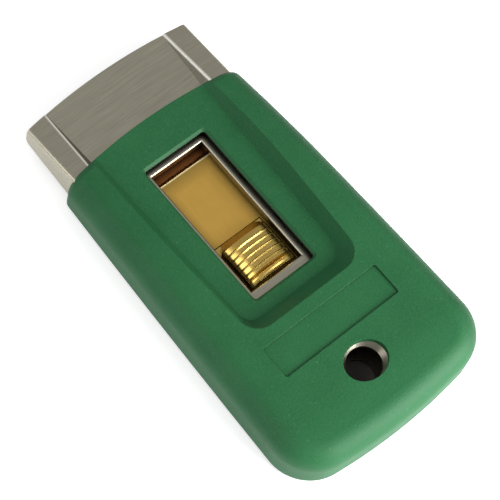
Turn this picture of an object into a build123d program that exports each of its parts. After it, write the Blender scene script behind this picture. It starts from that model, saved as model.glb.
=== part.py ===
from build123d import *
import os
from math import atan2, cos, pi, sin, tan, radians

# Retractable scraper for a 38 mm single-edge blade: a folded steel case in a soft
# moulded sleeve, with a slide that the thumb pushes forward through a window.
#
# Millimetres. +X points to the blade, +Y to the tool's left, +Z up. The origin is
# under the middle of the tool, on the surface that it lies on.
# Distances "from front" run back from the middle of the case's front edge.

# The whole tool
tool_length = 100.9
overrun = 1.0            # how far a cut runs past what it cuts
pick_tolerance = 0.01    # how close an edge lies to the place where it is looked for
sheet = 0.6              # steel sheet of the case, the slide and the holder
running_gap = 0.2        # over and under the slide

# Blade and its spine
blade_width = 38.1
blade_depth = 19.0
blade_thickness = 0.23
blade_bevel = 1.1
blade_setback = 2.5      # from the case's front edge to the blade's edge
spine_depth = 5.4
spine_thickness = 1.5
spine_web = 0.45         # closed rear end of the folded spine
spine_round = 0.5
spine_fit = 0.03         # each side of the blade in its spine
spine_end_gap = 0.3      # from the spine to the slide plate's tab

# Blade holder
blade_side_gap = 0.3     # between the blade and the holder's side lips
holder_case_gap = 0.95   # between those lips and the floor plate's flanges
holder_length = 33.0
holder_blade_setback = 3.0   # from the blade's edge to the holder's front edge
holder_lip_height = 2.4
holder_corner_radius = 1.5
hook_width = 9.4
hook_side_gap = 1.4      # from a hook to the slide plate's tab
hook_reach = 2.8
hook_gap = 0.1

# Case: folded upper shell and floor plate
case_floor_z = 1.2       # underside of the case, the sleeve's floor
case_arc_sag = 1.75      # how far the front edge bows forward
case_rear_gap = 4.8      # from the tool's rear end to the case
case_corner_cut = 4.7
corner_share = 0.586     # by which a corner cut shortens when its outline is drawn in by 1
case_bend_radius = 1.0   # outside radius of the folds
wall_joint_gap = 0.05    # between the shell's walls and the floor plate's flanges
nose_radius = 1.6        # lower front corner of the side walls
nose_rise = 1.8          # of the walls' lower edge at the front
nose_length = 15.0       # over which that edge rises
flange_height = 4.0
floor_front_setback = 2.4
floor_edge = 0.4         # bevel round the floor plate's underside

# Side bands of the case, which rise to the rear and then level out
band_front_rise = 1.2    # of the bands over the panel at the front edge
band_slope_length = 23.8
band_slope_angle = 5.26
band_arc_length = 24.0

# Sunk middle panel of the case
panel_clearance = 2.4    # between the slide plate and the panel's top face
band_width_front = 5.75
band_width_middle = 6.6
band_width_window = 7.15
band_width_rear = 8.55
panel_step_share = 0.8   # sideways run of the panel's side slopes per height
panel_front_drop = 0.2   # of the panel under the bands at the front edge
panel_middle_rise = 0.7  # of the panel at the sleeve's front edge, over its level part
panel_level_margin = 1.5     # level part ahead of the window
panel_rear_margin = 6.7      # level part behind the window
panel_rear_slope_length = 4.6

# Window in the panel, with its bent-down collar
window_from_front = 25.8
window_length = 33.3
window_half_width = 7.0
collar_bend_radius = 0.5

# Hang hole through everything
hang_from_rear = 14.25
hang_radius = 4.0
hang_rim_radius = 1.1    # flare of the drawn rim
hang_rim_depth = 2.0

# Sleeve
sleeve_from_front = 15.1
sleeve_front_sag = 2.3
sleeve_front_wall = 1.65     # side wall over the case's widest part, at the front
sleeve_rear_wall = 5.0
sleeve_side_bow = 0.3    # how far the sides bow out between front and rear
sleeve_rear_sag = 2.7
sleeve_corner_radius = 10.5
sleeve_shoulder_radius = 2.0
sleeve_top_wall = 1.4
sleeve_top_radius = 5.0
sleeve_bottom_edge = 1.6
sleeve_fit = 0.05        # all round between the sleeve and the case

# Sunk field of the sleeve round the window
field_floor_height = 2.45    # over the panel
field_rise = 3.3         # the height over which the slopes below are given
field_slope_front = 2.8
field_slope_side = 1.9
field_slope_rear = 3.3
field_corner_radius = 3.0
field_corner_growth = 2.0
field_margin_front = 1.3     # from the field's floor to the foot of the panel's slopes
field_margin_rear = 0.3
field_rear_margin = 6.0      # from the window to the rear end of the field's floor
sleeve_window_front_margin = 1.2
sleeve_window_rear_margin = 2.4
sleeve_window_side_margin = 1.35
sleeve_window_lip = 0.6
sleeve_window_corner_radius = 0.7
undercut_height = 1.3    # hollow under the lip, over the panel
undercut_depth = 1.6     # how far it reaches out from the lip

# Bare label recess
label_from_rear = 21.5
label_length = 7.85
label_half_width = 15.8
label_depth = 0.45
label_corner_radius = 0.5

# Oval hang hole of the sleeve
sleeve_hole_margin_length = 0.35
sleeve_hole_margin_width = 1.2

# Slide plate
plate_half_width = 8.2
plate_tab_length = 5.5   # of the tab that lies on the holder
plate_joggle_run = 0.9
plate_bend_radius = 0.45
plate_hole_gap = 2.4     # from the plate's rear end to the hang hole
plate_corner_radius = 2.0

# Thumb pad in its slot
pad_length = 12.0
pad_half_width = 6.3
pad_rear_gap = 0.5       # behind the pad at rest
pad_front_gap = 0.3      # ahead of the pad when it is right forward
pad_slot_gap = 0.25
pad_wall = 0.7
pad_flange = 0.9         # how far the pad's foot reaches under the plate
pad_flange_thickness = 0.5
pad_foot_gap = 0.1       # between the foot and the plate at rest
pad_edge_rise = 0.8      # height of the pad's long sides over the plate
pad_front_rise = 0.4     # height of its front edge over the plate
pad_front_width = 9.2    # of that edge, which is narrower than the pad
pad_slope_length = 2.0   # run of its sloping front, up to the first crest
pad_crown_front = 3.1    # behind that slope
pad_crown_middle = 3.9
pad_crown_rear = 3.5
pad_rear_radius = 0.8
pad_rear_steps = 3       # flat strips that make up the rear rounding
pad_travel = 0.6
pad_floor_gap = 0.2      # under the spring when the pad is pressed down

# Ridges across the thumb pad
ridge_count = 5          # between the crest of the sloping front and the groove
ridge_width = 0.5
ridge_height = 0.28
groove_from_pad_rear = 1.45
groove_width = 0.5
groove_depth = 0.35

# Latch ears at the pad's foot, and their notches in the panel
ear_length = 2.0
ear_thickness = 0.4
ear_side_gap = 0.7       # from an ear to the slide plate's side
ear_top_gap = 0.1
notch_gap = 0.35
working_travel = 9.0

# Leaf spring under the pad
spring_thickness = 0.35
spring_half_width = 4.2
spring_pad_gap = 0.05
spring_flat_length = 17.0
spring_fixed_length = 5.0
spring_slope_length = 10.5

# Rivets
rivet_radius = 1.2
rivet_head_radius = 1.9
rivet_head_height = 0.45
rivet_pocket_gap = 0.1
rivet_from_front = 61.8
small_rivet_radius = 0.8
small_rivet_head_radius = 1.15
small_rivet_head_height = 0.3
slide_rivet_y = 4.6
slide_rivet_setback = 1.6
spring_rivet_setback = 2.2


def behind(distance):
    """X at a distance behind the case's front edge."""
    return front_x - distance


# Places along the tool
front_x = tool_length / 2
rear_x = -tool_length / 2
case_rear_x = rear_x + case_rear_gap
case_corner_x = front_x - case_arc_sag
band_slope_end_x = behind(band_slope_length)
window_rear_from_front = window_from_front + window_length
window_mid_x = behind(window_from_front + window_length / 2)
hang_x = rear_x + hang_from_rear
spine_rear_x = behind(blade_setback + blade_depth)
holder_front_x = behind(blade_setback + holder_blade_setback)
tab_front_x = spine_rear_x - spine_end_gap
tab_rear_x = tab_front_x - plate_tab_length
joggle_x = tab_rear_x - plate_joggle_run
plate_rear_x = hang_x + hang_radius + plate_hole_gap
pad_rear_x = behind(window_rear_from_front - pad_rear_gap)
pad_front_x = pad_rear_x + pad_length
pad_mid_x = (pad_rear_x + pad_front_x) / 2
slide_travel = behind(window_from_front + pad_front_gap) - pad_front_x
ear_x = pad_rear_x - pad_flange + ear_length / 2
slide_rivet_x = tab_front_x - slide_rivet_setback
spring_rear_x = plate_rear_x + spring_rivet_setback
spring_rivet_x = spring_rear_x + spring_fixed_length / 2
sleeve_front_x = behind(sleeve_from_front)

# Half widths
holder_half_width = blade_width / 2 + blade_side_gap + sheet
case_half_width = holder_half_width + holder_case_gap + 2 * sheet + wall_joint_gap
panel_half_width_front = case_half_width - band_width_front
panel_half_width_middle = case_half_width - band_width_middle
panel_half_width_window = case_half_width - band_width_window
panel_half_width_rear = case_half_width - band_width_rear
field_half_width_front = panel_half_width_front - field_margin_front
field_half_width_rear = panel_half_width_rear - field_margin_rear
sleeve_front_half_width = case_half_width + sleeve_front_wall
sleeve_rear_half_width = case_half_width + sleeve_rear_wall
sleeve_front_radius = (sleeve_front_half_width**2 + sleeve_front_sag**2) / (2 * sleeve_front_sag)
ear_y = plate_half_width + ear_side_gap + ear_thickness / 2
hook_y = plate_half_width + hook_side_gap + hook_width / 2

# Heights
floor_top_z = case_floor_z + sheet
holder_z = floor_top_z + running_gap
holder_top_z = holder_z + sheet
blade_z = holder_top_z + spine_thickness / 2
spine_top_z = holder_top_z + spine_thickness
tab_top_z = holder_top_z + sheet
plate_under_z = (
    floor_top_z + pad_floor_gap + pad_travel + spring_thickness + spring_pad_gap
    + pad_flange_thickness + pad_foot_gap
)
plate_top_z = plate_under_z + sheet
foot_top_z = plate_under_z - pad_foot_gap
foot_z = foot_top_z - pad_flange_thickness
panel_z = plate_top_z + panel_clearance
panel_under_z = panel_z - sheet
collar_depth = panel_clearance - running_gap
ear_top_z = panel_under_z - ear_top_gap
band_front_z = panel_z + band_front_rise
band_arc_radius = band_arc_length / sin(radians(band_slope_angle))
band_mid_z = band_front_z + band_slope_length * tan(radians(band_slope_angle))
band_top_z = band_mid_z + band_arc_length * tan(radians(band_slope_angle) / 2)
sleeve_top_z = band_top_z + sleeve_top_wall
field_floor_z = panel_z + field_floor_height
side_rivet_z = floor_top_z + flange_height / 2
nose_top_z = case_floor_z + nose_rise + 2 * nose_radius


def band_profile(drop, rear, start, bottom):
    """Side view of the case's bands, lowered by drop, from start back to rear."""
    start_z = band_front_z - drop - (start - front_x) * tan(radians(band_slope_angle))
    slope_end = (band_slope_end_x, band_mid_z - drop)
    level_start = (band_slope_end_x - band_arc_length, band_top_z - drop)
    level_end = (rear, band_top_z - drop)
    with BuildSketch() as profile:
        with BuildLine():
            Polyline(slope_end, (start, start_z), (start, bottom), (rear, bottom), level_end, level_start)
            RadiusArc(level_start, slope_end, band_arc_radius)
        make_face()
    return profile.sketch


def case_plan(inset, front):
    """Plan of the case, drawn in by inset, with its front edge moved back by front."""
    half = case_half_width - inset
    left = (case_corner_x - front, half)
    right = (case_corner_x - front, -half)
    with BuildSketch() as plan:
        with BuildLine():
            ThreePointArc(left, (front_x - front, 0), right)
            Polyline(right, (case_rear_x + inset, -half), (case_rear_x + inset, half), left)
        make_face()
        corner_cut = case_corner_cut - inset * corner_share
        chamfer(plan.vertices().group_by(Axis.X)[0], length=corner_cut)
    return plan.sketch


def recess_form(expand):
    """The space over the case's sunk panel, grown by expand for its underside."""
    ceiling = band_top_z + overrun
    level_end = window_rear_from_front + panel_rear_margin
    slope_top = ceiling - overrun / 2
    stations = [
        (-overrun, band_front_z - panel_front_drop, panel_half_width_front),
        (sleeve_from_front, panel_z + panel_middle_rise, panel_half_width_middle),
        (window_from_front - panel_level_margin, panel_z, panel_half_width_window),
        (level_end, panel_z, panel_half_width_rear),
        (level_end + panel_rear_slope_length, slope_top, panel_half_width_rear),
    ]
    with BuildPart() as form:
        for distance, floor, half in stations:
            low = floor - expand
            wide = half + expand
            high = wide + (ceiling - low) * panel_step_share
            with BuildSketch(Plane.YZ.offset(behind(distance))):
                with BuildLine():
                    Polyline((-wide, low), (wide, low), (high, ceiling), (-high, ceiling), close=True)
                make_face()
        loft(ruled=True)
    return form.part


def on_fold(edge, half):
    """True on the edges between the bands and the side walls."""
    middle = edge.center(CenterOf.MASS)
    on_side = abs(abs(middle.Y) - half) < pick_tolerance
    return on_side and middle.Z > panel_z and abs(edge.tangent_at(0).X) > 0.5


def case_form(inset, bottom, front, bend):
    """Solid of the case's outer shape, drawn in by inset on its top, sides and rear."""
    recess = recess_form(inset)
    with BuildPart() as form:
        with BuildSketch(Plane.XY.offset(bottom)):
            add(case_plan(inset, front))
        extrude(amount=band_top_z)
        with BuildSketch(Plane.XZ):
            add(band_profile(inset, case_rear_x + inset, front_x + overrun - front, bottom))
        extrude(amount=case_half_width + overrun, both=True, mode=Mode.INTERSECT)
        folds = form.edges().filter_by(lambda edge: on_fold(edge, case_half_width - inset))
        if bend > 0:
            fillet(folds, radius=bend)
        add(recess, mode=Mode.SUBTRACT)
    return form.part


def rivet_planes():
    """A plane on the outside of each side wall, facing outwards, at its rivet."""
    planes = []
    for side in (1, -1):
        spot = (behind(rivet_from_front), side * case_half_width, side_rivet_z)
        planes.append(Plane(origin=spot, x_dir=(1, 0, 0), z_dir=(0, side, 0)))
    return planes


def sleeve_plan():
    """Plan of the sleeve, run on ahead of its front edge."""
    shoulder_x = sleeve_front_x + overrun
    tail_x = rear_x + sleeve_rear_sag
    middle_x = (shoulder_x + tail_x) / 2
    middle_half = (sleeve_front_half_width + sleeve_rear_half_width) / 2 + sleeve_side_bow
    front_left = (shoulder_x, sleeve_front_half_width)
    front_right = (shoulder_x, -sleeve_front_half_width)
    rear_left = (tail_x, sleeve_rear_half_width)
    rear_right = (tail_x, -sleeve_rear_half_width)
    with BuildSketch() as plan:
        with BuildLine():
            Line(front_right, front_left)
            ThreePointArc(front_left, (middle_x, middle_half), rear_left)
            ThreePointArc(rear_left, (rear_x, 0), rear_right)
            ThreePointArc(rear_right, (middle_x, -middle_half), front_right)
        make_face()
        fillet(plan.vertices().group_by(Axis.X)[0], radius=sleeve_corner_radius)
    return plan.sketch


def at_shoulder(edge):
    """True on the upright edges at the sleeve's two front corners."""
    middle = edge.center(CenterOf.MASS)
    along = middle.X > sleeve_front_x - sleeve_front_sag - sleeve_top_radius
    outside = abs(middle.Y) > sleeve_front_half_width - sleeve_top_radius
    return along and outside and abs(edge.tangent_at(0.5).X) < 0.5 and middle.Z > pick_tolerance


def field_outline(reach):
    """Plan of the sleeve's sunk field at a height of reach over its floor."""
    grow = reach / field_rise
    front = sleeve_front_x + overrun
    rear = behind(window_rear_from_front + field_rear_margin + field_slope_rear * grow)
    front_half = field_half_width_front + field_slope_front * grow
    rear_half = field_half_width_rear + field_slope_side * grow
    with BuildSketch() as outline:
        with BuildLine():
            Polyline(
                (front, front_half),
                (rear, rear_half),
                (rear, -rear_half),
                (front, -front_half),
                close=True,
            )
        make_face()
        corner_radius = field_corner_radius + field_corner_growth * grow
        fillet(outline.vertices().group_by(Axis.X)[0], radius=corner_radius)
    return outline.sketch


def pad_crown(distance):
    """Height of the pad's crown over the plate, at a distance behind the pad's front."""
    share = distance / pad_length
    front = pad_crown_front * (1 - share) * (1 - 2 * share)
    middle = pad_crown_middle * 4 * share * (1 - share)
    return front + middle + pad_crown_rear * share * (2 * share - 1)


def pad_stations():
    """Distances behind the pad's front, with the crown's height over the plate there."""
    stations = [(0, pad_front_rise), (pad_slope_length, pad_crown(pad_slope_length))]
    groove = pad_length - groove_from_pad_rear
    ridge_pitch = (groove - pad_slope_length) / (ridge_count + 1)
    marks = []
    for number in range(ridge_count):
        crest = pad_slope_length + (number + 1) * ridge_pitch
        marks += [(crest - ridge_width / 2, 0), (crest, ridge_height), (crest + ridge_width / 2, 0)]
    marks += [(groove - groove_width, 0), (groove - groove_width / 2, ridge_height)]
    marks += [(groove, -groove_depth), (groove + groove_width / 2, 0)]
    for distance, height in marks:
        stations.append((distance, pad_crown(distance) + height))
    for step in range(pad_rear_steps + 1):
        turn = step / pad_rear_steps * pi / 2
        ahead = pad_rear_radius * (1 - sin(turn))
        drop = pad_rear_radius * (1 - cos(turn))
        stations.append((pad_length - ahead, pad_crown(pad_length - ahead) - drop))
    return stations


def pad_section(distance, crown):
    """Cross-section of the pad: upright sides under half an ellipse."""
    half = pad_half_width
    edge = min(pad_edge_rise, crown / 2)
    with BuildSketch(Plane.YZ.offset(pad_front_x - distance)) as section:
        with BuildLine():
            EllipticalCenterArc((0, plate_top_z + edge), half, crown - edge, arc_size=180)
            Polyline(
                (-half, plate_top_z + edge),
                (-half, foot_z),
                (half, foot_z),
                (half, plate_top_z + edge),
            )
        make_face()
    return section.sketch


case_outer = case_form(0, case_floor_z, 0, case_bend_radius)
case_inner = case_form(sheet, case_floor_z - overrun, -overrun, 0)
case_space = case_form(-sleeve_fit, case_floor_z, -overrun, 0)


# Upper shell of the case: bands, sunk panel, window collar and drawn hang-hole rim
with BuildPart() as case_top:
    add(case_outer)
    add(case_inner, mode=Mode.SUBTRACT)
    with BuildSketch(Plane.XY.offset(panel_z)):
        with Locations((window_mid_x, 0)):
            RectangleRounded(window_length + 2 * sheet, 2 * (window_half_width + sheet), sheet)
    extrude(amount=-collar_depth)
    with BuildSketch(Plane.XY.offset(panel_z + overrun)):
        with Locations((window_mid_x, 0)):
            Rectangle(window_length, 2 * window_half_width)
    extrude(amount=-collar_depth - 2 * overrun, mode=Mode.SUBTRACT)
    level_edges = case_top.edges().filter_by_position(
        Axis.Z, panel_z - pick_tolerance, panel_z + pick_tolerance
    )
    side_reach = window_half_width + pick_tolerance
    end_reach = window_length / 2 + pick_tolerance
    rim = level_edges.filter_by_position(Axis.Y, -side_reach, side_reach)
    rim = rim.filter_by_position(Axis.X, window_mid_x - end_reach, window_mid_x + end_reach)
    fillet(rim, radius=collar_bend_radius)
    with BuildSketch(Plane.XY.offset(band_top_z - sheet)):
        with Locations((hang_x, 0)):
            Circle(hang_radius + sheet)
    extrude(amount=-hang_rim_depth + sheet)
    with Locations(Plane.XY.offset(band_top_z) * Location((hang_x, 0, 0))):
        Hole(radius=hang_radius, depth=hang_rim_depth + overrun)
    top_circles = case_top.edges().filter_by(GeomType.CIRCLE).group_by(Axis.Z)[-1]
    hang_edge = top_circles.filter_by(lambda edge: abs(edge.radius - hang_radius) < pick_tolerance)
    chamfer(hang_edge, length=hang_rim_radius)
    with BuildSketch(Plane.XY.offset(panel_z + overrun)):
        for travel in (0, working_travel, slide_travel):
            with Locations((ear_x + travel, ear_y), (ear_x + travel, -ear_y)):
                Rectangle(ear_length + 2 * notch_gap, ear_thickness + 2 * notch_gap)
    extrude(amount=-sheet - 2 * overrun, mode=Mode.SUBTRACT)
    for plane in rivet_planes():
        with Locations(plane):
            Hole(radius=rivet_radius, depth=sheet + overrun)
    with BuildSketch(Plane.XZ) as below_walls:
        with BuildLine():
            Polyline(
                (case_corner_x - nose_length, case_floor_z),
                (case_corner_x, case_floor_z + nose_rise),
                (case_corner_x, nose_top_z),
                (front_x + overrun, nose_top_z),
                (front_x + overrun, case_floor_z),
                close=True,
            )
        make_face()
        fillet(
            below_walls.vertices().sort_by_distance((case_corner_x, case_floor_z + nose_rise))[0],
            radius=nose_radius,
        )
    extrude(amount=case_half_width + overrun, both=True, mode=Mode.SUBTRACT)

case_top.part.label = "case_top"


# Floor plate with its turned-up side flanges
with BuildPart() as case_back:
    with BuildSketch(Plane.XY.offset(case_floor_z)):
        add(case_plan(sheet + wall_joint_gap, floor_front_setback))
    extrude(amount=sheet + flange_height)
    bottom_edges = case_back.edges().group_by(Axis.Z)[0]
    chamfer(bottom_edges.sort_by(Axis.X)[:-1], length=floor_edge)
    with BuildSketch(Plane.XY.offset(floor_top_z)):
        add(case_plan(2 * sheet + wall_joint_gap, -overrun))
    extrude(amount=flange_height + overrun, mode=Mode.SUBTRACT)
    with Locations(Plane.XY.offset(floor_top_z) * Location((hang_x, 0, 0))):
        Hole(radius=hang_radius, depth=sheet)
    for plane in rivet_planes():
        with Locations(plane):
            Hole(radius=rivet_radius, depth=2 * sheet + wall_joint_gap + overrun)

case_back.part.label = "case_back"


# Rivets through the side walls, with a round head outside and inside
with BuildPart() as case_rivets:
    rivet_length = 2 * sheet + wall_joint_gap
    for plane in rivet_planes():
        with BuildSketch(plane):
            Circle(rivet_radius)
        extrude(amount=-rivet_length)
        with BuildSketch(plane, plane.offset(-rivet_length - rivet_head_height)):
            Circle(rivet_head_radius)
        extrude(amount=rivet_head_height)

case_rivets.part.label = "case_rivets"


# Soft sleeve over the rear of the case
with BuildPart() as grip_sleeve:
    with BuildSketch():
        add(sleeve_plan())
    extrude(amount=sleeve_top_z + overrun)
    with BuildSketch(Plane.XZ):
        add(band_profile(-sleeve_top_wall, rear_x - overrun, front_x, -overrun))
    extrude(amount=sleeve_rear_half_width + 2 * overrun, both=True, mode=Mode.INTERSECT)
    upper_edges = grip_sleeve.edges().filter_by(lambda edge: edge.center(CenterOf.MASS).Z > band_front_z)
    outline = upper_edges.filter_by(lambda edge: abs(edge.tangent_at(0).Z) < 0.5)
    across = outline.filter_by(Axis.Y)
    fillet([edge for edge in outline if edge not in across], radius=sleeve_top_radius)

    with BuildSketch():
        with Locations((sleeve_front_x - 2 * sleeve_front_sag, 0)):
            ahead = 2 * sleeve_front_sag + 2 * overrun
            Rectangle(ahead, 2 * sleeve_rear_half_width, align=(Align.MIN, Align.CENTER))
        with Locations((sleeve_front_x - sleeve_front_radius, 0)):
            Circle(sleeve_front_radius, mode=Mode.SUBTRACT)
    extrude(amount=sleeve_top_z, mode=Mode.SUBTRACT)
    front_edges = grip_sleeve.edges().filter_by(at_shoulder)
    fillet(front_edges, radius=sleeve_shoulder_radius)
    chamfer(grip_sleeve.edges().group_by(Axis.Z)[0], length=sleeve_bottom_edge)

    with BuildSketch(Plane.XY.offset(field_floor_z)):
        add(field_outline(0))
    with BuildSketch(Plane.XY.offset(sleeve_top_z + overrun)):
        add(field_outline(sleeve_top_z + overrun - field_floor_z))
    loft(mode=Mode.SUBTRACT)

    window_rear_x = behind(window_rear_from_front) - sleeve_window_rear_margin
    window_front_x = behind(window_from_front) + sleeve_window_front_margin
    window_half = window_half_width + sleeve_window_side_margin
    with BuildSketch(Plane.XY.offset(field_floor_z)):
        with Locations(((window_rear_x + window_front_x) / 2, 0)):
            RectangleRounded(window_front_x - window_rear_x, 2 * window_half, sleeve_window_corner_radius)
    extrude(amount=panel_z - overrun - field_floor_z, mode=Mode.SUBTRACT)
    floor_edges = grip_sleeve.edges().filter_by_position(
        Axis.Z, field_floor_z - pick_tolerance, field_floor_z + pick_tolerance
    )
    lip = floor_edges.filter_by_position(Axis.Y, -window_half - pick_tolerance, window_half + pick_tolerance)
    lip = lip.filter_by_position(Axis.X, window_rear_x - pick_tolerance, window_front_x + pick_tolerance)
    chamfer(lip, length=sleeve_window_lip)
    add(case_space, mode=Mode.SUBTRACT)
    with BuildSketch(Plane.XY.offset(panel_z + undercut_height)):
        with Locations(((window_rear_x + window_front_x) / 2, 0)):
            hollow_length = window_front_x - window_rear_x + 2 * undercut_depth
            Rectangle(hollow_length, 2 * (window_half + undercut_depth))
    extrude(amount=-undercut_height - overrun, mode=Mode.SUBTRACT)

    with BuildSketch(Plane.XY.offset(sleeve_top_z - label_depth)):
        with Locations((rear_x + label_from_rear + label_length / 2, 0)):
            RectangleRounded(label_length, 2 * label_half_width, label_corner_radius)
    extrude(amount=label_depth + overrun, mode=Mode.SUBTRACT)
    with BuildSketch():
        with Locations((hang_x, 0)):
            Ellipse(hang_radius + sleeve_hole_margin_length, hang_radius + sleeve_hole_margin_width)
    extrude(amount=sleeve_top_z, mode=Mode.SUBTRACT)
    for plane in rivet_planes():
        with Locations(plane.offset(rivet_head_height + rivet_pocket_gap)):
            Hole(radius=rivet_head_radius + rivet_pocket_gap, depth=rivet_head_height + overrun)

grip_sleeve.part.label = "grip_sleeve"


# Blade holder: a sheet with side lips and two hooks over the blade's spine
with BuildPart() as blade_holder:
    with BuildSketch(Plane.XY.offset(holder_z)):
        with Locations((holder_front_x, 0)):
            Rectangle(holder_length, 2 * holder_half_width, align=(Align.MAX, Align.CENTER))
    extrude(amount=sheet)
    fillet(blade_holder.edges().filter_by(Axis.Z), radius=holder_corner_radius)
    lip_x = holder_front_x - holder_corner_radius
    lip_length = holder_length - 2 * holder_corner_radius
    with BuildSketch(Plane.XY.offset(holder_z)):
        for side in (1, -1):
            with Locations((lip_x, side * (holder_half_width - sheet / 2))):
                Rectangle(lip_length, sheet, align=(Align.MAX, Align.CENTER))
    extrude(amount=holder_lip_height)
    hook_rear_x = spine_rear_x - hook_gap - sheet
    hook_under_z = spine_top_z + hook_gap
    hook_top_z = hook_under_z + sheet
    with BuildSketch(Plane.XZ.offset(-hook_y)) as hook_shape:
        with BuildLine():
            hook_tip_x = spine_rear_x + hook_reach
            Polyline(
                (hook_rear_x, holder_z),
                (hook_rear_x, hook_top_z),
                (hook_tip_x, hook_top_z),
                (hook_tip_x, hook_under_z),
                (hook_rear_x + sheet, hook_under_z),
                (hook_rear_x + sheet, holder_z),
                close=True,
            )
        make_face()
        fillet(hook_shape.vertices().group_by(Axis.Y)[-1].sort_by(Axis.X)[0], radius=sheet)
    extrude(amount=hook_width / 2, both=True)
    with BuildSketch(Plane.XZ.offset(hook_y)):
        add(hook_shape.sketch_local)
    extrude(amount=hook_width / 2, both=True)
    with Locations(Plane.XY.offset(holder_top_z)):
        with Locations((slide_rivet_x, slide_rivet_y), (slide_rivet_x, -slide_rivet_y)):
            Hole(radius=small_rivet_radius, depth=sheet)

blade_holder.part.label = "blade_holder"


# Slide plate, joggled down to a tab on the holder, with the thumb pad's slot
with BuildPart() as slide_plate:
    joggle_angle = atan2(plate_under_z - holder_top_z, plate_joggle_run)
    bend_shift = sheet * tan(joggle_angle / 2)
    with BuildSketch(Plane.XZ) as plate_side:
        with BuildLine():
            Polyline(
                (plate_rear_x, plate_top_z),
                (joggle_x, plate_top_z),
                (tab_rear_x, tab_top_z),
                (tab_front_x, tab_top_z),
                (tab_front_x, holder_top_z),
                (tab_rear_x - bend_shift, holder_top_z),
                (joggle_x - bend_shift, plate_under_z),
                (plate_rear_x, plate_under_z),
                close=True,
            )
        make_face()
        bends = plate_side.vertices()
        bends = bends.filter_by_position(Axis.X, joggle_x - sheet, tab_rear_x + pick_tolerance)
        fillet(bends, radius=plate_bend_radius)
    extrude(amount=plate_half_width, both=True)
    fillet(slide_plate.edges().filter_by(Axis.Z).group_by(Axis.X)[0], radius=plate_corner_radius)
    with BuildSketch(Plane.XY.offset(plate_top_z)):
        with Locations((pad_mid_x, 0)):
            Rectangle(pad_length + 2 * pad_slot_gap, 2 * (pad_half_width + pad_slot_gap))
    extrude(amount=-sheet, mode=Mode.SUBTRACT)
    with Locations(Plane.XY.offset(tab_top_z)):
        with Locations((slide_rivet_x, slide_rivet_y), (slide_rivet_x, -slide_rivet_y)):
            Hole(radius=small_rivet_radius, depth=sheet)
    with Locations(Plane.XY.offset(plate_top_z)):
        with Locations((spring_rivet_x, 0)):
            CounterSinkHole(small_rivet_radius, small_rivet_head_radius, depth=sheet)

slide_plate.part.label = "slide_plate"


# Rivets that hold the slide plate's tab on the holder
with BuildPart() as slide_rivets:
    with BuildSketch(Plane.XY.offset(holder_z)):
        with Locations((slide_rivet_x, slide_rivet_y), (slide_rivet_x, -slide_rivet_y)):
            Circle(small_rivet_radius)
    extrude(amount=2 * sheet)
    with BuildSketch(Plane.XY.offset(tab_top_z)):
        with Locations((slide_rivet_x, slide_rivet_y), (slide_rivet_x, -slide_rivet_y)):
            Circle(small_rivet_head_radius)
    extrude(amount=small_rivet_head_height)

slide_rivets.part.label = "slide_rivets"


# Thumb pad: crowned shell with ridges, a foot under the plate and two latch ears
with BuildPart() as thumb_pad:
    for distance, crown in pad_stations():
        add(pad_section(distance, crown))
    loft(ruled=True)
    with BuildSketch(Plane.XY.offset(plate_top_z)):
        with BuildLine():
            Polyline(
                (pad_front_x, pad_front_width / 2),
                (pad_front_x + overrun, pad_front_width / 2),
                (pad_front_x + overrun, pad_half_width + overrun),
                (pad_front_x - pad_slope_length, pad_half_width + overrun),
                (pad_front_x - pad_slope_length, pad_half_width),
                close=True,
            )
        make_face()
        mirror(about=Plane.XZ)
    extrude(amount=pad_crown_middle, mode=Mode.SUBTRACT)
    with BuildSketch(Plane.XY.offset(foot_z)):
        with Locations((pad_mid_x, 0)):
            Rectangle(pad_length + 2 * pad_flange, 2 * (pad_half_width + pad_flange))
        with Locations((ear_x, 0)):
            Rectangle(ear_length, 2 * ear_y + ear_thickness)
    extrude(amount=pad_flange_thickness)
    with BuildSketch(Plane.XY.offset(foot_z)):
        with Locations((ear_x, ear_y), (ear_x, -ear_y)):
            Rectangle(ear_length, ear_thickness)
    extrude(amount=ear_top_z - foot_z)
    with BuildSketch(Plane.XY.offset(foot_z)):
        with Locations((pad_front_x - pad_slope_length, 0)):
            hollow_run = pad_length - pad_slope_length - pad_wall
            Rectangle(hollow_run, 2 * (pad_half_width - pad_wall), align=(Align.MAX, Align.CENTER))
    extrude(amount=plate_top_z + pad_edge_rise - pad_wall - foot_z, mode=Mode.SUBTRACT)

thumb_pad.part.label = "thumb_pad"


# Leaf spring, fixed under the rear of the plate and resting under the pad's foot
with BuildPart() as latch_spring:
    fixed_end_x = spring_rear_x + spring_fixed_length
    slope_end_x = fixed_end_x + spring_slope_length
    spring_front_x = slope_end_x + spring_flat_length
    spring_top_z = foot_z - spring_pad_gap
    with BuildSketch(Plane.XZ):
        with BuildLine():
            Polyline(
                (spring_rear_x, plate_under_z),
                (fixed_end_x, plate_under_z),
                (slope_end_x, spring_top_z),
                (spring_front_x, spring_top_z),
                (spring_front_x, spring_top_z - spring_thickness),
                (slope_end_x, spring_top_z - spring_thickness),
                (fixed_end_x, plate_under_z - spring_thickness),
                (spring_rear_x, plate_under_z - spring_thickness),
                close=True,
            )
        make_face()
    extrude(amount=spring_half_width, both=True)
    with Locations(Plane.XY.offset(plate_under_z)):
        with Locations((spring_rivet_x, 0)):
            Hole(radius=small_rivet_radius, depth=spring_thickness)

latch_spring.part.label = "latch_spring"


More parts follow.
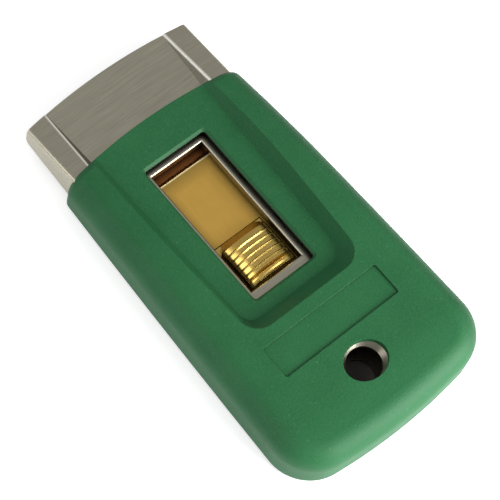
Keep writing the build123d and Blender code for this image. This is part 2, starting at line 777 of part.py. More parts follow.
# Rivet that holds the leaf spring, flush in the plate
with BuildPart() as spring_rivet:
    with BuildSketch(Plane.XY.offset(plate_under_z - spring_thickness)):
        with Locations((spring_rivet_x, 0)):
            Circle(small_rivet_radius)
    extrude(amount=sheet + spring_thickness)
    sink = small_rivet_head_radius - small_rivet_radius
    with BuildSketch(Plane.XY.offset(plate_top_z - sink)):
        with Locations((spring_rivet_x, 0)):
            Circle(small_rivet_radius)
    with BuildSketch(Plane.XY.offset(plate_top_z)):
        with Locations((spring_rivet_x, 0)):
            Circle(small_rivet_head_radius)
    loft()
    with BuildSketch(Plane.XY.offset(plate_under_z - spring_thickness)):
        with Locations((spring_rivet_x, 0)):
            Circle(small_rivet_head_radius)
    extrude(amount=-small_rivet_head_height)

spring_rivet.part.label = "spring_rivet"


# Single-edge blade
with BuildPart() as blade:
    with BuildSketch(Plane.XZ):
        with BuildLine():
            blade_edge_x = behind(blade_setback)
            blade_half = blade_thickness / 2
            blade_end_x = spine_rear_x + spine_web
            Polyline(
                (blade_end_x, blade_z - blade_half),
                (blade_end_x, blade_z + blade_half),
                (blade_edge_x - blade_bevel, blade_z + blade_half),
                (blade_edge_x, blade_z),
                (blade_edge_x - blade_bevel, blade_z - blade_half),
                close=True,
            )
        make_face()
    extrude(amount=blade_width / 2, both=True)

blade.part.label = "blade"


# Folded spine on the back of the blade
with BuildPart() as blade_spine:
    with BuildSketch(Plane.XZ) as spine_side:
        with Locations((spine_rear_x, blade_z)):
            Rectangle(spine_depth, spine_thickness, align=(Align.MIN, Align.CENTER))
        fillet(spine_side.vertices().group_by(Axis.X)[0], radius=spine_round)
        with Locations((spine_rear_x + spine_web, blade_z)):
            slot_height = blade_thickness + 2 * spine_fit
            Rectangle(spine_depth, slot_height, align=(Align.MIN, Align.CENTER), mode=Mode.SUBTRACT)
    extrude(amount=blade_width / 2, both=True)

blade_spine.part.label = "blade_spine"


os.makedirs("parts", exist_ok=True)
pieces = (
    case_top,
    case_back,
    case_rivets,
    grip_sleeve,
    slide_plate,
    blade_holder,
    slide_rivets,
    thumb_pad,
    latch_spring,
    spring_rivet,
    blade,
    blade_spine,
)
for piece in pieces:
    export_step(piece.part, f"parts/{piece.part.label}.step")
print("travel of the slide", round(slide_travel, 3), "top", round(sleeve_top_z, 3))
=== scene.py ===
from math import cos, radians, sin

import bmesh
import bpy
from bpy.props import FloatProperty, FloatVectorProperty, PointerProperty
from bpy.types import Operator, Panel, PropertyGroup
from mathutils import Matrix, Vector

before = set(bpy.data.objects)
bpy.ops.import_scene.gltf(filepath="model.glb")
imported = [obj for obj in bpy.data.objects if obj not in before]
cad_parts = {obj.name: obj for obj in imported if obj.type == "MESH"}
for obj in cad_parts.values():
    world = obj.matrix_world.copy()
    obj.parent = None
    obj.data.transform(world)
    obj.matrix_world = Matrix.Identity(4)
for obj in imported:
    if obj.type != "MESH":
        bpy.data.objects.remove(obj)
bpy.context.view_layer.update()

bl_info = {
    "name": "Hob scraper",
    "version": (1, 1, 0),
    "blender": (4, 5, 0),
    "location": "3D View > Sidebar > Scraper",
    "description": "Gives the packed scraper its finishes, floor, lights and camera",
    "category": "Object",
}

# Places on the tool that the finishes and the painted light and shade follow, in metres
FRONT_X = 0.05045  # front edge of the case
WINDOW_X = 0.0074  # middle of the window
WINDOW_HALF_LENGTH = 0.019
WINDOW_HALF_WIDTH = 0.0088
SLIDE_HALF_WIDTH = 0.0068  # that the window shows
# where the painted light on the sleeve's rear end begins, and where it is full
REAR_LIGHT_STARTS_X = -0.036
REAR_LIGHT_FULL_X = -0.043
SLOPES_WITHIN = 0.0185  # half width that holds the panel's side slopes
BAND_LEAN = 0.0331  # widening between the bands' inner edges towards the rear, per length
# rear end of the painted highlight on the bands' inner edges
BAND_HIGHLIGHT_REAR_X = 0.03
PANEL_Z = 0.0068  # just over the level part of the panel
# half extents of the floor's painted shade under the tool
UNDER_TOOL_X = 0.045
UNDER_TOOL_Y = 0.021
SOFT = 0.0001  # width over which a mask fades


# Settings that a user would change


def colour(name, description, default):
    """A colour setting, given in linear light."""
    return FloatVectorProperty(
        name=name, description=description, default=default, subtype="COLOR", size=3, min=0.0, max=1.0
    )


def length(name, description, default):
    """A length setting in metres."""
    return FloatProperty(
        name=name, description=description, default=default, subtype="DISTANCE", unit="LENGTH", min=0.0
    )


def share(name, description, default):
    """A setting between none and all."""
    return FloatProperty(
        name=name, description=description, default=default, subtype="FACTOR", min=0.0, max=1.0
    )


def angle(name, description, degrees):
    """An angle setting."""
    return FloatProperty(
        name=name, description=description, default=radians(degrees), subtype="ANGLE", unit="ROTATION"
    )


def power(name, description, default):
    """The power of a light, in watts."""
    return FloatProperty(name=name, description=description, default=default, unit="POWER", min=0.0)


def strength(name, description, default):
    """The strength of an even light."""
    return FloatProperty(name=name, description=description, default=default, min=0.0)


class ScraperSleeve(PropertyGroup):
    """Finish of the soft sleeve."""

    base: colour("Green", "Colour of the soft moulding", (0.0098, 0.082, 0.0255))
    pale: colour("Pale green", "Colour where the moulding is a little paler", (0.0145, 0.1, 0.033))
    # Painted light: the sleeve's rear end is lighter where the low key light falls on it
    rear: colour("Rear green", "Colour of the moulding's rear end", (0.014, 0.102, 0.033))
    # Real specks and grain, and a faint painted highlight along the sharp edges
    dust: colour("Dust", "Colour of the specks and the rubbed edges", (0.07, 0.2, 0.11))
    roughness: share("Roughness", "Roughness of the soft moulding", 0.5)
    sheen: share("Shine", "How strongly the soft moulding reflects", 0.2)
    grain: length("Grain", "Size of the moulded surface grain", 0.0004)
    grain_depth: length("Grain depth", "Depth of the moulded surface grain", 0.00008)
    edge: length("Edge", "Rounding of the moulding's sharp edges", 0.00018)
    # Painted shade: the recesses are darkened where the light hardly reaches
    deep: length("Recess", "How far the darkening of its recesses reaches", 0.0025)
    # Painted shade: near-black on the walls under the window's lip, where the light hardly reaches
    lip: length("Lip", "Height that the black under the window's lip reaches up to", 0.0084)


class ScraperSteel(PropertyGroup):
    """Finish of the brushed steel."""

    base: colour("Steel", "Colour of the brushed steel", (0.5, 0.475, 0.375))
    dark: colour("Steel shade", "Colour of the dark brush lines", (0.34, 0.32, 0.25))
    # Painted highlight: a pale line along the bands' inner edges, where the sheet's rounding catches the
    # light
    bright: colour("Bright steel", "Colour of the bands' polished edges", (1.0, 0.97, 0.88))
    # Painted shade deep inside the case, on the panel's side slopes and in the small pieces' corners; also
    # the colour of faint smudges
    grime: colour("Grime", "Colour deep inside the case", (0.022, 0.017, 0.012))
    blade: colour("Blade steel", "Colour of the blade and the rivets", (0.66, 0.66, 0.65))
    blade_dark: colour("Blade shade", "Colour of their dark brush lines", (0.5, 0.5, 0.49))
    spring: colour("Spring steel", "Colour of the spring and the blade's spine", (0.42, 0.42, 0.42))
    spring_dark: colour("Spring shade", "Colour of their dark brush lines", (0.3, 0.3, 0.3))
    roughness: share("Roughness", "Roughness of the brushed steel", 0.28)
    line: length("Brush line", "Width of the brush lines", 0.00012)
    line_depth: length("Brush depth", "Depth of the brush lines", 0.0000015)
    # Painted highlight: the sheet's sharp edges get a paler line
    edge: length("Edge", "Width of the paler line on the sheet's edges", 0.00022)
    band: length("Band", "Half width between the bands' inner edges at the front", 0.0166)
    # Half width of the painted highlight on the bands' inner edges
    band_line: length("Band line", "Half width of the polished line on them", 0.00042)
    # Reach of the painted shade inside the case
    inside: length("Inside", "How far the dark inside of the case reaches", 0.01)
    # Reach of the painted shade in the small pieces' corners
    corner: length("Corner", "How far the dark corners of the small pieces reach", 0.002)


class ScraperGold(PropertyGroup):
    """Finish of the gold slide and pad."""

    plate: colour("Slide gold", "Colour of the satin slide", (0.74, 0.455, 0.1))
    plate_dark: colour("Slide shade", "Darker tone of the satin slide", (0.66, 0.405, 0.09))
    pad: colour("Pad gold", "Colour of the bright thumb pad", (0.74, 0.54, 0.16))
    # Also the colour of the painted shade where the pad faces forward
    pad_dark: colour("Pad shade", "Darker tone of the thumb pad", (0.46, 0.3, 0.075))
    # Painted highlight: the bright line on the slide's front step
    pale: colour("Pale gold", "Colour of the bright line on the slide's front step", (0.95, 0.84, 0.5))
    # Painted shade: olive towards the window's edges and in the slide's corners
    olive: colour("Olive", "Colour of the slide towards the window's edges", (0.16, 0.12, 0.035))
    # Painted shade: the slide's lower front ahead of its step, with a dark reflected gold
    brown: colour("Brown", "Colour of the slide's lower front", (0.17, 0.06, 0.02))
    brown_from: length("Brown from", "Place along the tool where the brown begins", 0.0221)
    shadow: colour("Deep gold", "Colour in the grooves and corners", (0.1, 0.06, 0.02))
    plate_roughness: share("Slide roughness", "Roughness of the satin slide", 0.46)
    pad_roughness: share("Pad roughness", "Roughness of the thumb pad", 0.26)
    # Reach of the painted shadow in the pad's grooves
    groove: length("Groove", "How far the darkening of the pad's grooves reaches", 0.00036)
    # Reach of the painted shade in the slide's corners
    corner: length("Corner", "How far the darkening of the slide's corners reaches", 0.0036)


class ScraperStage(PropertyGroup):
    """Floor, lights and camera."""

    floor: colour("Floor", "Colour of the floor", (0.9, 0.9, 0.9))
    glow: strength("Floor glow", "How brightly the floor shines by itself", 0.42)
    target: FloatVectorProperty(
        name="Target",
        description="Point that the camera looks at",
        default=(-0.00133, 0.00133, 0.0072),
        subtype="XYZ",
        unit="LENGTH",
        size=3,
    )
    azimuth: angle("Azimuth", "Direction of the camera from the target, counted from +X", 121.94)
    tilt: angle("Tilt", "Angle of the camera from straight above", 24.26)
    roll: angle("Roll", "Turn of the picture", 19.20)
    distance: length("Distance", "Distance from the camera to the target", 0.4777)
    lens: FloatProperty(
        name="Lens", description="Focal length on a 36 mm sensor", default=161.68, unit="CAMERA"
    )
    key: power("Key light", "Power of the low softbox behind the tool's rear", 2.6)
    side: power("Side light", "Power of the softbox on the tool's left", 3.2)
    above: strength("Overhead", "Strength of the even light from above", 0.55)
    around: strength("Surroundings", "Strength of the even light near the rear horizon", 1.3)


class ScraperSettings(PropertyGroup):
    """All the settings of the scraper."""

    sleeve: PointerProperty(type=ScraperSleeve)
    steel: PointerProperty(type=ScraperSteel)
    gold: PointerProperty(type=ScraperGold)
    stage: PointerProperty(type=ScraperStage)


# Node helpers


def rgba(values):
    """A colour setting as the four numbers a socket takes."""
    return (values[0], values[1], values[2], 1.0)


def connect(tree, value, socket):
    """Sets a socket to a value, or links an output to it."""
    if isinstance(value, bpy.types.NodeSocket):
        tree.links.new(value, socket)
    else:
        socket.default_value = value


def calculate(tree, operation, first, second=0.0):
    """A Math node on one or two values or outputs."""
    node = tree.nodes.new("ShaderNodeMath")
    node.operation = operation
    connect(tree, first, node.inputs[0])
    connect(tree, second, node.inputs[1])
    return node.outputs["Value"]


def multiply(tree, first, second):
    """The product of two values or outputs."""
    return calculate(tree, "MULTIPLY", first, second)


def distance_from(tree, value, middle=0.0):
    """How far a value is from a middle, whichever side it is on."""
    return calculate(tree, "ABSOLUTE", calculate(tree, "SUBTRACT", value, middle))


def object_place(tree):
    """The object's own coordinates, which are the frame's."""
    return tree.nodes.new("ShaderNodeTexCoord").outputs["Object"]


def facing(tree):
    """The direction that the surface faces."""
    return tree.nodes.new("ShaderNodeNewGeometry").outputs["Normal"]


def noise(tree, place, scale, detail, rough):
    """Noise at a scale, which is a value or an output."""
    node = tree.nodes.new("ShaderNodeTexNoise")
    connect(tree, scale, node.inputs["Scale"])
    node.inputs["Detail"].default_value = detail
    node.inputs["Roughness"].default_value = rough
    tree.links.new(place, node.inputs["Vector"])
    return node.outputs["Fac"]


def spread(tree, value, low, high, out_low, out_high):
    """Maps a value from one range to another, held at its ends."""
    node = tree.nodes.new("ShaderNodeMapRange")
    node.inputs["From Min"].default_value = low
    node.inputs["From Max"].default_value = high
    node.inputs["To Min"].default_value = out_low
    node.inputs["To Max"].default_value = out_high
    tree.links.new(value, node.inputs["Value"])
    return node.outputs["Result"]


def axes_of(tree, vector):
    """The X, Y and Z of a vector."""
    node = tree.nodes.new("ShaderNodeSeparateXYZ")
    tree.links.new(vector, node.inputs["Vector"])
    return node.outputs["X"], node.outputs["Y"], node.outputs["Z"]


def blend_colours(tree, mask, first, second):
    """Mixes two colours by a mask; each is a colour or an output."""
    node = tree.nodes.new("ShaderNodeMix")
    node.data_type = "RGBA"
    tree.links.new(mask, node.inputs[0])
    connect(tree, first, node.inputs[6])
    connect(tree, second, node.inputs[7])
    return node.outputs[2]


def bump(tree, height, depth, normal):
    """Bump from a height between 0 and 1 and a depth in metres, over a normal."""
    node = tree.nodes.new("ShaderNodeBump")
    node.inputs["Distance"].default_value = depth
    tree.links.new(height, node.inputs["Height"])
    tree.links.new(normal, node.inputs["Normal"])
    return node.outputs["Normal"]


# Effects that several materials use, as node groups


def new_group(name, inputs, outputs):
    """An empty shader node group with named inputs and outputs."""
    group = bpy.data.node_groups.new(name, "ShaderNodeTree")
    for label, kind, default in inputs:
        socket = group.interface.new_socket(name=label, in_out="INPUT", socket_type=kind)
        socket.default_value = default
    for label, kind in outputs:
        group.interface.new_socket(name=label, in_out="OUTPUT", socket_type=kind)
    return group, group.nodes.new("NodeGroupInput").outputs, group.nodes.new("NodeGroupOutput").inputs


def surface_grain():
    """Fine grain, broad clouds and sparse specks."""
    group, given, result = new_group(
        "surface_grain",
        [("Place", "NodeSocketVector", (0, 0, 0)), ("Size", "NodeSocketFloat", 0.0005)],
        [("Grain", "NodeSocketFloat"), ("Clouds", "NodeSocketFloat"), ("Specks", "NodeSocketFloat")],
    )
    scale = calculate(group, "DIVIDE", 1.0, given["Size"])
    group.links.new(noise(group, given["Place"], scale, 2.0, 0.55), result["Grain"])
    wide = calculate(group, "DIVIDE", scale, 26.0)
    group.links.new(noise(group, given["Place"], wide, 2.0, 0.5), result["Clouds"])
    dots = noise(group, given["Place"], calculate(group, "DIVIDE", scale, 1.7), 1.0, 0.5)
    group.links.new(spread(group, dots, 0.7, 0.8, 0.0, 1.0), result["Specks"])
    return group


def brush_lines():
    """Fine brush lines and broader streaks along one direction."""
    group, given, result = new_group(
        "brush_lines",
        [
            ("Place", "NodeSocketVector", (0, 0, 0)),
            ("Stretch", "NodeSocketVector", (1, 1, 1)),
            ("Width", "NodeSocketFloat", 0.0001),
        ],
        [("Lines", "NodeSocketFloat"), ("Streaks", "NodeSocketFloat")],
    )
    drawn = group.nodes.new("ShaderNodeVectorMath")
    drawn.operation = "MULTIPLY"
    group.links.new(given["Place"], drawn.inputs[0])
    group.links.new(given["Stretch"], drawn.inputs[1])
    scale = calculate(group, "DIVIDE", 1.0, given["Width"])
    lines = noise(group, drawn.outputs["Vector"], scale, 3.0, 0.6)
    group.links.new(spread(group, lines, 0.3, 0.7, 0.0, 1.0), result["Lines"])
    streaks = noise(group, drawn.outputs["Vector"], calculate(group, "DIVIDE", scale, 4.0), 2.0, 0.5)
    group.links.new(spread(group, streaks, 0.35, 0.65, 0.0, 1.0), result["Streaks"])
    return group


def soft_edge():
    """A normal that is rounded over sharp edges, and a mask of those edges."""
    group, given, result = new_group(
        "soft_edge",
        [("Radius", "NodeSocketFloat", 0.0002)],
        [("Normal", "NodeSocketVector"), ("Edge", "NodeSocketFloat")],
    )
    rounded = group.nodes.new("ShaderNodeBevel")
    rounded.samples = 4
    group.links.new(given["Radius"], rounded.inputs["Radius"])
    surface = group.nodes.new("ShaderNodeNewGeometry")
    likeness = group.nodes.new("ShaderNodeVectorMath")
    likeness.operation = "DOT_PRODUCT"
    group.links.new(rounded.outputs["Normal"], likeness.inputs[0])
    group.links.new(surface.outputs["Normal"], likeness.inputs[1])
    group.links.new(rounded.outputs["Normal"], result["Normal"])
    group.links.new(spread(group, likeness.outputs["Value"], 0.98, 0.8, 0.0, 1.0), result["Edge"])
    return group


def deep_places():
    """A mask of grooves, corners and insides that the light hardly reaches."""
    group, given, result = new_group(
        "deep_places", [("Reach", "NodeSocketFloat", 0.002)], [("Depth", "NodeSocketFloat")]
    )
    openness = group.nodes.new("ShaderNodeAmbientOcclusion")
    openness.samples = 6
    group.links.new(given["Reach"], openness.inputs["Distance"])
    group.links.new(calculate(group, "SUBTRACT", 1.0, openness.outputs["AO"]), result["Depth"])
    return group


def placed(tree, make, values):
    """Places a node group in a material with its own values, and returns its outputs."""
    name = make.__name__
    node = tree.nodes.new("ShaderNodeGroup")
    node.node_tree = bpy.data.node_groups.get(name) or make()
    for label, value in values.items():
        connect(tree, value, node.inputs[label])
    return node.outputs


# Materials


def new_material(name):
    """A new material with its node tree, its shader and its object coordinates."""
    material = bpy.data.materials.new(name)
    material.use_nodes = True
    tree = material.node_tree
    return material, tree, tree.nodes["Principled BSDF"], object_place(tree)


def repaint(material, mask, tone):
    """Lays a tone over a material's own colour, by a mask."""
    tree = material.node_tree
    base = tree.nodes["Principled BSDF"].inputs["Base Color"]
    tree.links.new(blend_colours(tree, mask, base.links[0].from_socket, rgba(tone)), base)


def line_mask(tree, value, middle, half):
    """A soft line: 1 where a value is at the middle, 0 from half away."""
    return spread(tree, distance_from(tree, value, middle), half, 0.3 * half, 0.0, 1.0)


def window_gap(tree, axes, lip):
    """A mask of the walls under the lip of the sleeve's window, which the light hardly reaches."""
    along, across, height = axes
    low = spread(tree, height, lip + SOFT, lip - SOFT, 0.0, 1.0)
    beside = distance_from(tree, across)
    near = spread(tree, beside, WINDOW_HALF_WIDTH, WINDOW_HALF_WIDTH - SOFT, 0.0, 0.95)
    away = distance_from(tree, along, WINDOW_X)
    within = spread(tree, away, WINDOW_HALF_LENGTH, WINDOW_HALF_LENGTH - 2 * SOFT, 0.0, 1.0)
    return multiply(tree, multiply(tree, low, within), near)


def soft_green(sleeve):
    """The soft moulded sleeve, with painted light on its rear end, painted shade in its recesses and on faces
    turned towards -Y, and near-black painted shade under its window's lip.
    """
    material, tree, shader, place = new_material("soft_green")
    grain = placed(tree, surface_grain, {"Place": place, "Size": sleeve.grain})
    edge = placed(tree, soft_edge, {"Radius": sleeve.edge})
    deep = placed(tree, deep_places, {"Reach": sleeve.deep})["Depth"]
    axes = axes_of(tree, place)
    # colour of the painted shade in the recesses and on faces turned towards -Y
    dark = [0.12 * value for value in sleeve.base]
    # near-black for the painted shade under the window's lip
    black = (0.002, 0.002, 0.0015)
    clouds = spread(tree, grain["Clouds"], 0.35, 0.7, 0.0, 0.6)
    tint = blend_colours(tree, clouds, rgba(sleeve.base), rgba(sleeve.pale))
    layers = (
        # painted light on the rear end
        (spread(tree, axes[0], REAR_LIGHT_STARTS_X, REAR_LIGHT_FULL_X, 0.0, 1.0), sleeve.rear),
        (spread(tree, grain["Grain"], 0.35, 0.65, 0.0, 0.1), sleeve.dust),
        (multiply(tree, grain["Specks"], 0.3), sleeve.dust),
        # faint painted highlight along the sharp edges
        (multiply(tree, edge["Edge"], 0.1), sleeve.dust),
        # painted shade in the recesses
        (spread(tree, deep, 0.3, 0.8, 0.0, 0.9), dark),
        # painted shade on faces turned towards -Y
        (spread(tree, axes_of(tree, facing(tree))[1], -0.15, -0.45, 0.0, 0.25), dark),
        # painted shade under the window's lip
        (window_gap(tree, axes, sleeve.lip), black),
    )
    for mask, laid in layers:
        tint = blend_colours(tree, mask, tint, rgba(laid))
    tree.links.new(tint, shader.inputs["Base Color"])
    rough = spread(tree, grain["Grain"], 0.3, 0.7, sleeve.roughness - 0.05, sleeve.roughness + 0.07)
    tree.links.new(rough, shader.inputs["Roughness"])
    shader.inputs["Specular IOR Level"].default_value = sleeve.sheen
    tree.links.new(bump(tree, grain["Grain"], sleeve.grain_depth, edge["Normal"]), shader.inputs["Normal"])
    return material


def brushed(name, steel, along, tones, roughness, reach, deep_range=(0.5, 0.85), streaks=0.25, smudges=0.05):
    """Brushed metal with its lines along X or Y.

    The tones are its own, that of its dark lines and that of the painted shade in its deep places,
    which a reach and a range of depths set. Its own tone is also laid on its sharp edges as a painted
    highlight.
    """
    material, tree, shader, place = new_material(name)
    drawn_out = 0.012
    stretch = (1.0, drawn_out, 1.0) if along == "Y" else (drawn_out, 1.0, 1.0)
    brush = placed(tree, brush_lines, {"Place": place, "Stretch": stretch, "Width": steel.line})
    grain = placed(tree, surface_grain, {"Place": place, "Size": 2 * steel.line})
    edge = placed(tree, soft_edge, {"Radius": steel.edge})["Edge"]
    deep = placed(tree, deep_places, {"Reach": reach})["Depth"]
    base, dark, deepest = tones
    tint = blend_colours(tree, brush["Lines"], rgba(dark), rgba(base))
    layers = (
        (multiply(tree, brush["Streaks"], streaks), dark),
        (spread(tree, grain["Clouds"], 0.35, 0.75, 0.0, smudges), deepest),
        # painted highlight along the sharp edges
        (multiply(tree, edge, 0.5), base),
        # painted shade in the deep places
        (spread(tree, deep, *deep_range, 0.0, 0.97), deepest),
    )
    for mask, laid in layers:
        tint = blend_colours(tree, mask, tint, rgba(laid))
    tree.links.new(tint, shader.inputs["Base Color"])
    shader.inputs["Metallic"].default_value = 1.0
    rough = spread(tree, grain["Clouds"], 0.25, 0.75, roughness - 0.02, roughness + 0.03)
    tree.links.new(rough, shader.inputs["Roughness"])
    tree.links.new(bump(tree, brush["Lines"], steel.line_depth, facing(tree)), shader.inputs["Normal"])
    return material


def brushed_steel(steel):
    """The case's brushed steel, with worn bands, a painted highlight on the bands' inner edges, and painted
    shade inside the case and on the panel's side slopes.
    """
    tones = (steel.base, steel.dark, steel.grime)
    material = brushed("brushed_steel", steel, "Y", tones, steel.roughness, steel.inside)
    tree = material.node_tree
    place = object_place(tree)
    along, across, height = axes_of(tree, place)
    width = distance_from(tree, across)
    lean = multiply(tree, calculate(tree, "SUBTRACT", FRONT_X, along), BAND_LEAN)
    from_edge = calculate(tree, "SUBTRACT", width, lean)

    worn = placed(tree, surface_grain, {"Place": place, "Size": 0.0003})["Grain"]
    bands = spread(tree, from_edge, steel.band, steel.band + 2 * SOFT, 0.0, 1.0)
    scuffs = spread(tree, worn, 0.4, 0.62, 0.05, 0.4)
    repaint(material, multiply(tree, bands, scuffs), steel.dark)

    # painted shade on the panel's side slopes, by the way they face
    sideways = distance_from(tree, axes_of(tree, facing(tree))[1])
    slope_shade = spread(tree, sideways, 0.3, 0.5, 0.0, 0.55)
    inner = spread(tree, width, SLOPES_WITHIN, SLOPES_WITHIN - 5 * SOFT, 0.0, 1.0)
    repaint(material, multiply(tree, slope_shade, inner), steel.grime)

    # painted highlight along the bands' inner edges
    line = line_mask(tree, from_edge, steel.band, steel.band_line)
    ahead = spread(tree, along, BAND_HIGHLIGHT_REAR_X, BAND_HIGHLIGHT_REAR_X + 10 * SOFT, 0.0, 0.95)
    high = spread(tree, height, PANEL_Z, PANEL_Z + SOFT, 0.0, 1.0)
    repaint(material, multiply(tree, multiply(tree, line, ahead), high), steel.bright)
    return material


def satin_gold(gold, steel):
    """The slide's satin gold, with painted olive shade towards its edges, a painted highlight line on its
    front step, and painted shade ahead of that step.
    """
    tones = (gold.plate, gold.plate_dark, gold.olive)
    rough, reach = gold.plate_roughness, gold.corner
    material = brushed("satin_gold", steel, "X", tones, rough, reach, (0.3, 0.75), streaks=0.15, smudges=0.12)
    tree = material.node_tree
    along, across, _ = axes_of(tree, object_place(tree))
    fading = 0.0035
    # painted olive shade towards the window's front and side edges
    front = spread(tree, along, gold.brown_from - fading, gold.brown_from, 0.0, 0.5)
    side = spread(tree, distance_from(tree, across), SLIDE_HALF_WIDTH - 0.0023, SLIDE_HALF_WIDTH, 0.0, 0.4)
    repaint(material, calculate(tree, "MAXIMUM", front, side), gold.olive)
    # painted highlight on the front step
    repaint(material, line_mask(tree, along, gold.brown_from, 0.00022), gold.pale)
    # painted shade on the lower front, ahead of the step
    ahead = spread(tree, along, gold.brown_from + SOFT, gold.brown_from + 3 * SOFT, 0.0, 0.95)
    repaint(material, ahead, gold.brown)
    return material


def bright_gold(gold, steel):
    """The thumb pad's bright gold, with painted shade where it faces forward."""
    tones = (gold.pad, gold.pad_dark, gold.shadow)
    rough, reach = gold.pad_roughness, gold.groove
    material = brushed("bright_gold", steel, "X", tones, rough, reach, (0.6, 1.0), streaks=0.1, smudges=0.1)
    tree = material.node_tree
    # painted shade where the pad faces forward
    forward = spread(tree, axes_of(tree, facing(tree))[0], -0.1, 0.35, 0.0, 0.75)
    repaint(material, forward, gold.pad_dark)
    return material


def dress(material, *nodes):
    """Puts a material on CAD nodes."""
    for node in nodes:
        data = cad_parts[node].data
        data.materials.clear()
        data.materials.append(material)


class SCRAPER_OT_sleeve(Operator):
    """Give the soft sleeve its finish"""

    bl_idname = "scraper.sleeve"
    bl_label = "Sleeve"

    def execute(self, context):
        dress(soft_green(context.scene.scraper.sleeve), "grip_sleeve")
        return {"FINISHED"}


class SCRAPER_OT_case(Operator):
    """Give the folded case and the blade holder their brushed steel"""

    bl_idname = "scraper.case"
    bl_label = "Case"

    def execute(self, context):
        steel = context.scene.scraper.steel
        dress(brushed_steel(steel), "case_top", "case_back", "blade_holder")
        return {"FINISHED"}


class SCRAPER_OT_slide(Operator):
    """Give the slide and the thumb pad their gold"""

    bl_idname = "scraper.slide"
    bl_label = "Slide and pad"

    def execute(self, context):
        gold = context.scene.scraper.gold
        steel = context.scene.scraper.steel
        dress(satin_gold(gold, steel), "slide_plate")
        dress(bright_gold(gold, steel), "thumb_pad")
        return {"FINISHED"}


class SCRAPER_OT_small(Operator):
    """Give the blade, its spine, the spring and the rivets their steel"""

    bl_idname = "scraper.small"
    bl_label = "Blade, spring and rivets"

    def execute(self, context):
        steel = context.scene.scraper.steel
        blade_tones = (steel.blade, steel.blade_dark, steel.grime)
        spring_tones = (steel.spring, steel.spring_dark, steel.grime)
        bright = brushed("bright_steel", steel, "Y", blade_tones, 0.18, steel.corner)
        plain = brushed("spring_steel", steel, "X", spring_tones, 0.33, steel.corner)
        dress(bright, "blade", "case_rivets", "slide_rivets", "spring_rivet")
        dress(plain, "blade_spine", "latch_spring")
        return {"FINISHED"}


# Floor, lights and camera


def aim(place, target, roll):
    """Turns an object at place to look at target."""
    back = (place - target).normalized()
    side = Vector((0.0, 0.0, 1.0)).cross(back).normalized()
    up = back.cross(side)
    turned_side = cos(roll) * side + sin(roll) * up
    turned_up = cos(roll) * up - sin(roll) * side
    return Matrix.Translation(place) @ Matrix((turned_side, turned_up, back)).transposed().to_4x4()


def direction(azimuth, height):
    """The unit vector at an azimuth and a height over the floor, both in radians."""
    return Vector((cos(height) * cos(azimuth), cos(height) * sin(azimuth), sin(height)))


def softbox(name, azimuth, height, away, width, depth, watts):
    """A rectangular studio light, at a distance in a direction given in degrees."""
    light = bpy.data.lights.new(name, "AREA")
    light.shape = "RECTANGLE"
    light.size = width
    light.size_y = depth
    light.energy = watts
    box = bpy.data.objects.new(name, light)
    bpy.context.scene.collection.objects.link(box)
    box.matrix_world = aim(away * direction(radians(azimuth), radians(height)), Vector((0, 0, 0)), 0.0)


def pale_floor(stage):
    """The floor's faintly mottled white, which shines by itself except under the tool, where a dark painted
    shade lies.
    """
    material, tree, shader, place = new_material("pale_floor")
    grain = placed(tree, surface_grain, {"Place": place, "Size": 0.002})
    shade = [0.98 * value for value in stage.floor]
    tint = blend_colours(tree, grain["Clouds"], rgba(stage.floor), rgba(shade))
    tree.links.new(spread(tree, grain["Grain"], 0.3, 0.7, 0.85, 0.95), shader.inputs["Roughness"])
    along, across, _ = axes_of(tree, place)
    past_ends = calculate(tree, "GREATER_THAN", distance_from(tree, along), UNDER_TOOL_X)
    past_sides = calculate(tree, "GREATER_THAN", distance_from(tree, across), UNDER_TOOL_Y)
    clear = calculate(tree, "MAXIMUM", past_ends, past_sides)
    # no glow and a dark painted shade under the tool; past its ends and sides the floor glows evenly
    glow = blend_colours(tree, clear, rgba((0.0, 0.0, 0.0)), rgba((1.0, 1.0, 1.0)))
    tree.links.new(glow, shader.inputs["Emission Color"])
    tree.links.new(blend_colours(tree, clear, rgba((0.15, 0.13, 0.12)), tint), shader.inputs["Base Color"])
    shader.inputs["Emission Strength"].default_value = stage.glow
    return material


def surroundings(scene, stage):
    """Even light, stronger only low behind the tool's rear."""
    world = scene.world or bpy.data.worlds.new("surroundings")
    scene.world = world
    world.use_nodes = True
    tree = world.node_tree
    x, _, z = axes_of(tree, tree.nodes.new("ShaderNodeTexCoord").outputs["Generated"])
    low = spread(tree, z, 0.15, 0.6, 1.0, 0.0)
    behind = spread(tree, x, -0.1, -0.8, 0.0, 1.0)
    light = spread(tree, multiply(tree, low, behind), 0.0, 1.0, stage.above, stage.around)
    tree.links.new(light, tree.nodes["Background"].inputs["Strength"])
    tree.nodes["Background"].inputs["Color"].default_value = (1.0, 1.0, 1.0, 1.0)


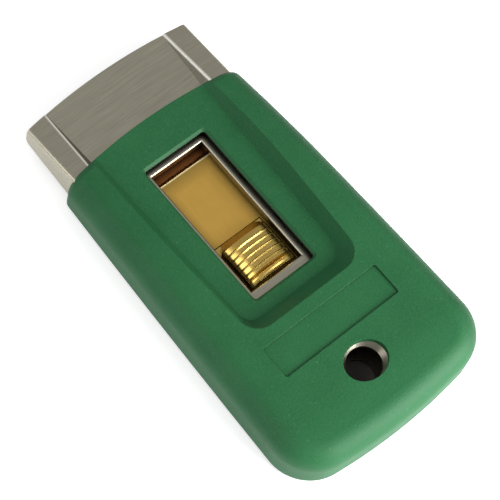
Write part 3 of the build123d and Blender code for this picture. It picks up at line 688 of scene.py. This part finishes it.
class SCRAPER_OT_stage(Operator):
    """Make the floor, the lights and the camera"""

    bl_idname = "scraper.stage"
    bl_label = "Stage"

    def execute(self, context):
        scene = context.scene
        stage = scene.scraper.stage
        scene.view_settings.view_transform = "Standard"
        grid = bmesh.new()
        half_size = 3.0
        bmesh.ops.create_grid(grid, x_segments=1, y_segments=1, size=half_size)
        mesh = bpy.data.meshes.new("floor")
        grid.to_mesh(mesh)
        grid.free()
        mesh.materials.append(pale_floor(stage))
        floor = bpy.data.objects.new("floor", mesh)
        scene.collection.objects.link(floor)

        surroundings(scene, stage)
        softbox("key_box", azimuth=205, height=26, away=0.36, width=0.26, depth=0.26, watts=stage.key)
        softbox("side_box", azimuth=72, height=42, away=1.0, width=0.4, depth=0.85, watts=stage.side)

        target = Vector(stage.target)
        camera = bpy.data.cameras.new("camera")
        camera.sensor_width = 36.0
        camera.lens = stage.lens
        camera.clip_start = 0.01
        camera.clip_end = 20.0
        eye = bpy.data.objects.new("camera", camera)
        scene.collection.objects.link(eye)
        ray = direction(stage.azimuth, radians(90) - stage.tilt)
        eye.matrix_world = aim(target + stage.distance * ray, target, stage.roll)
        scene.camera = eye
        return {"FINISHED"}


class SCRAPER_PT_panel(Panel):
    """The scraper's settings and pieces"""

    bl_idname = "SCRAPER_PT_panel"
    bl_label = "Scraper"
    bl_space_type = "VIEW_3D"
    bl_region_type = "UI"
    bl_category = "Scraper"

    def draw(self, context):
        settings = context.scene.scraper
        for group in (settings.sleeve, settings.steel, settings.gold, settings.stage):
            box = self.layout.box()
            for name in group.__annotations__:
                box.prop(group, name)
        for operator in OPERATORS:
            self.layout.operator(operator.bl_idname)


OPERATORS = (
    SCRAPER_OT_sleeve,
    SCRAPER_OT_case,
    SCRAPER_OT_slide,
    SCRAPER_OT_small,
    SCRAPER_OT_stage,
)
SETTINGS = (ScraperSleeve, ScraperSteel, ScraperGold, ScraperStage, ScraperSettings)
CLASSES = (*SETTINGS, *OPERATORS, SCRAPER_PT_panel)


def register():
    for item in CLASSES:
        bpy.utils.register_class(item)
    bpy.types.Scene.scraper = PointerProperty(type=ScraperSettings)


def unregister():
    del bpy.types.Scene.scraper
    for item in reversed(CLASSES):
        bpy.utils.unregister_class(item)


def main():
    """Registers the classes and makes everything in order."""
    register()
    bpy.ops.scraper.sleeve()
    bpy.ops.scraper.case()
    bpy.ops.scraper.slide()
    bpy.ops.scraper.small()
    bpy.ops.scraper.stage()


if __name__ == "__main__":
    main()
